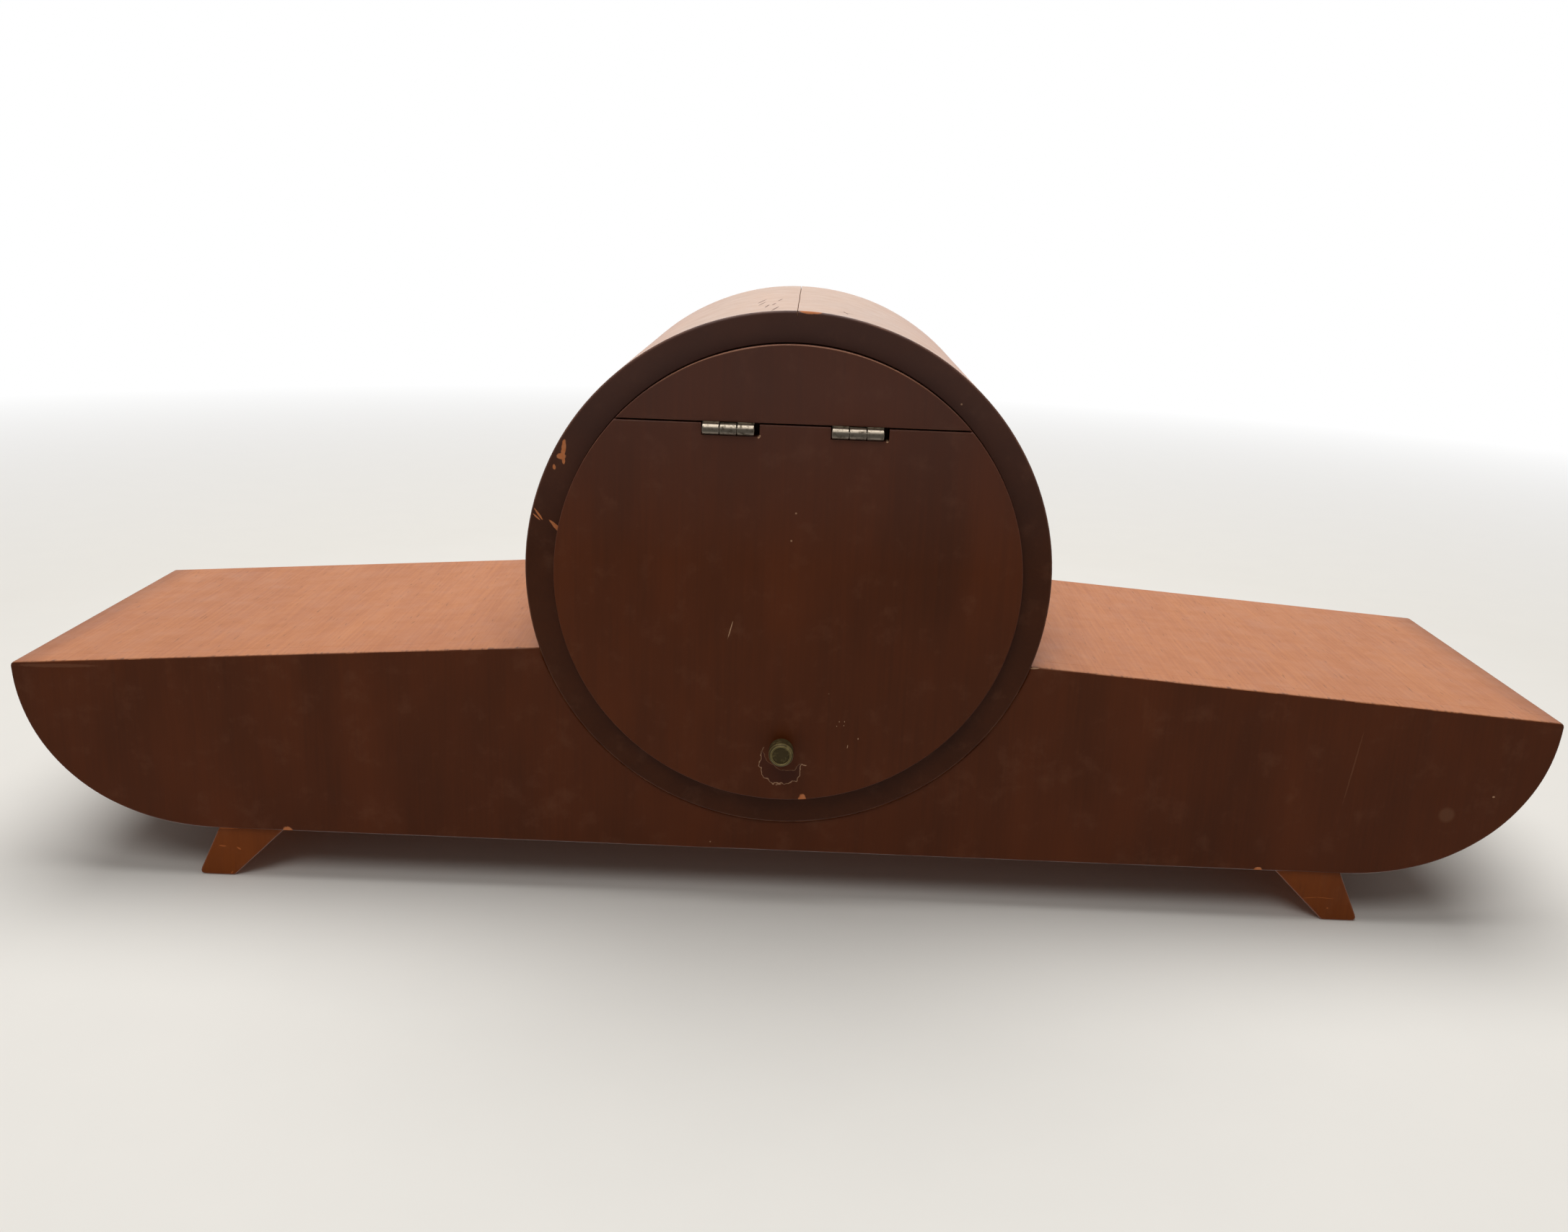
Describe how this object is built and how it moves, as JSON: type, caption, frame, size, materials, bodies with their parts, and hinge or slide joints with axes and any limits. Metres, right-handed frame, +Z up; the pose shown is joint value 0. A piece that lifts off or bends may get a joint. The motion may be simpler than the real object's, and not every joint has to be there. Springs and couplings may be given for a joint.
{
  "type": "chiming table clock",
  "caption": "Long boat-shaped wooden table clock with a round drum, a hinged back door, a hinged glass bezel, hands, a spring movement, a pendulum, hammers and gong rods.",
  "frame": {"origin": "on the table under the middle of the clock, the centre of the bottom of its box", "axes": "+X along the base towards the left of someone who looks at the back door, +Y out of the back door, +Z up; the dial faces -Y"},
  "size_m": [0.6, 0.195, 0.2325],
  "materials": {
    "stained_wood": "dark red-brown stain under worn lacquer",
    "bare_wood": "sawn, unfinished",
    "aged_steel": "dull, a little tarnished",
    "aged_brass": "dark patina, brighter on the edges",
    "steel": "turned and polished",
    "blued_steel": "blued",
    "brass": "satin",
    "cast_iron": "cast, black",
    "dial_paint": "satin cream paint with plain numbers",
    "glass": "clear"
  },
  "bodies": {
    "case": {"base_back_panel": "stained_wood", "base_front_panel": "stained_wood", "base_bottom_board": "stained_wood", "base_top_board_left": "stained_wood", "base_top_board_right": "stained_wood", "foot_left": "stained_wood", "foot_right": "stained_wood", "drum_hoop": "stained_wood", "dial_board": "stained_wood", "door_ledge": "bare_wood", "back_segment": "stained_wood", "hinge_left_case_leaf": "aged_steel", "hinge_left_pin": "aged_steel", "hinge_right_case_leaf": "aged_steel", "hinge_right_pin": "aged_steel", "dial_plate": "dial_paint", "bezel_hinge_bracket": "brass", "bezel_hinge_pin": "steel", "movement_front_plate": "brass", "movement_back_plate": "brass", "plate_pillar_1": "brass", "plate_pillar_2": "brass", "plate_pillar_3": "brass", "plate_pillar_4": "brass", "suspension_cock": "brass", "hammer_frame": "steel", "gong_block": "cast_iron", "gong_rod_1": "steel", "gong_rod_2": "steel", "gong_rod_3": "steel"},
    "door": {"back_door": "stained_wood", "hinge_left_door_leaf": "aged_steel", "hinge_right_door_leaf": "aged_steel"},
    "knob": {"door_knob": "aged_brass", "door_catch": "aged_steel"},
    "bezel": {"bezel_ring": "brass", "bezel_glass": "glass"},
    "minute": {"minute_hand": "blued_steel", "cannon_pinion": "steel"},
    "hour": {"hour_hand": "blued_steel", "hour_wheel": "brass"},
    "motion_wheel": {"minute_wheel": "brass"},
    "centre": {"centre_arbor": "steel", "centre_wheel": "brass", "hand_nut": "brass"},
    "third": {"third_wheel": "brass"},
    "escape": {"escape_wheel": "brass"},
    "going": {"going_barrel": "brass"},
    "going_winder": {"going_winding_arbor": "steel"},
    "pallets": {"pallet_anchor": "steel", "pendulum_rod": "steel"},
    "bob": {"pendulum_bob": "brass", "rating_nut": "brass"},
    "strike": {"strike_barrel": "brass"},
    "strike_pins": {"pin_wheel": "brass"},
    "fly": {"strike_fly": "brass"},
    "strike_winder": {"strike_winding_arbor": "steel"},
    "hammer_a": {"hammer_1": "brass"},
    "hammer_b": {"hammer_2": "brass"},
    "hammer_c": {"hammer_3": "brass"}
  },
  "joints": [
    {"name": "door_swing", "type": "hinge", "parent": "case", "child": "door", "pos_m": [0, 0.0888, 0.1899], "axis": [1, 0, 0], "range_deg": [0, 170]},
    {"name": "knob_turn", "type": "hinge", "parent": "door", "child": "knob", "pos_m": [0, 0.0885, 0.0677], "axis": [0, 1, 0], "range_deg": [0, 90]},
    {"name": "bezel_swing", "type": "hinge", "parent": "case", "child": "bezel", "pos_m": [-0.0825, -0.089, 0.1335], "axis": [0, 0, -1], "range_deg": [0, 110]},
    {"name": "minute_hand_turn", "type": "hinge", "parent": "case", "child": "minute", "pos_m": [0, -0.0885, 0.1335], "axis": [0, 1, 0], "continuous": true},
    {"name": "hour_hand_turn", "type": "hinge", "parent": "case", "child": "hour", "pos_m": [0, -0.0885, 0.1335], "axis": [0, 1, 0], "continuous": true},
    {"name": "minute_wheel_turn", "type": "hinge", "parent": "case", "child": "motion_wheel", "pos_m": [0, -0.068, 0.1515], "axis": [0, 1, 0], "continuous": true},
    {"name": "escape_turn", "type": "hinge", "parent": "case", "child": "escape", "pos_m": [0, -0.04, 0.16702], "axis": [0, 1, 0], "continuous": true},
    {"name": "third_turn", "type": "hinge", "parent": "case", "child": "third", "pos_m": [0.01254, -0.04, 0.15108], "axis": [0, 1, 0], "continuous": true},
    {"name": "centre_turn", "type": "hinge", "parent": "case", "child": "centre", "pos_m": [0, -0.04, 0.1335], "axis": [0, 1, 0], "continuous": true},
    {"name": "going_barrel_turn", "type": "hinge", "parent": "case", "child": "going", "pos_m": [0.02631, -0.04, 0.12392], "axis": [0, 1, 0], "continuous": true},
    {"name": "going_winding", "type": "hinge", "parent": "case", "child": "going_winder", "pos_m": [0.02631, -0.04, 0.12392], "axis": [0, 1, 0], "continuous": true},
    {"name": "pendulum_swing", "type": "hinge", "parent": "case", "child": "pallets", "pos_m": [0, -0.0065, 0.18402], "axis": [0, 1, 0], "range_deg": [-4, 4]},
    {"name": "bob_regulation", "type": "slide", "parent": "pallets", "child": "bob", "axis": [0, 0, 1], "range_m": [-0.004, 0.004]},
    {"name": "strike_barrel_turn", "type": "hinge", "parent": "case", "child": "strike", "pos_m": [-0.02631, -0.04, 0.12392], "axis": [0, 1, 0], "continuous": true},
    {"name": "pin_wheel_turn", "type": "hinge", "parent": "case", "child": "strike_pins", "pos_m": [-0.03117, -0.04, 0.1515], "axis": [0, 1, 0], "continuous": true},
    {"name": "fly_turn", "type": "hinge", "parent": "case", "child": "fly", "pos_m": [-0.02808, -0.04, 0.16905], "axis": [0, 1, 0], "continuous": true},
    {"name": "strike_winding", "type": "hinge", "parent": "case", "child": "strike_winder", "pos_m": [-0.02631, -0.04, 0.12392], "axis": [0, 1, 0], "continuous": true},
    {"name": "hammer_1_lift", "type": "hinge", "parent": "case", "child": "hammer_a", "pos_m": [-0.04, 0.0125, 0.0895], "axis": [0, 1, 0], "range_deg": [0, 20]},
    {"name": "hammer_2_lift", "type": "hinge", "parent": "case", "child": "hammer_b", "pos_m": [-0.04, 0.0225, 0.0895], "axis": [0, 1, 0], "range_deg": [0, 20]},
    {"name": "hammer_3_lift", "type": "hinge", "parent": "case", "child": "hammer_c", "pos_m": [-0.04, 0.0325, 0.0895], "axis": [0, 1, 0], "range_deg": [0, 20]}
  ],
  "couplings": [
    {"joint": "hour_hand_turn", "follows": "minute_hand_turn", "ratio": 0.083333},
    {"joint": "minute_wheel_turn", "follows": "minute_hand_turn", "ratio": -0.33333},
    {"joint": "third_turn", "follows": "escape_turn", "ratio": -0.083333},
    {"joint": "centre_turn", "follows": "escape_turn", "ratio": 0.0075758},
    {"joint": "going_barrel_turn", "follows": "escape_turn", "ratio": -0.0012626},
    {"joint": "pin_wheel_turn", "follows": "strike_barrel_turn", "ratio": -6},
    {"joint": "fly_turn", "follows": "strike_barrel_turn", "ratio": 48}
  ]
}
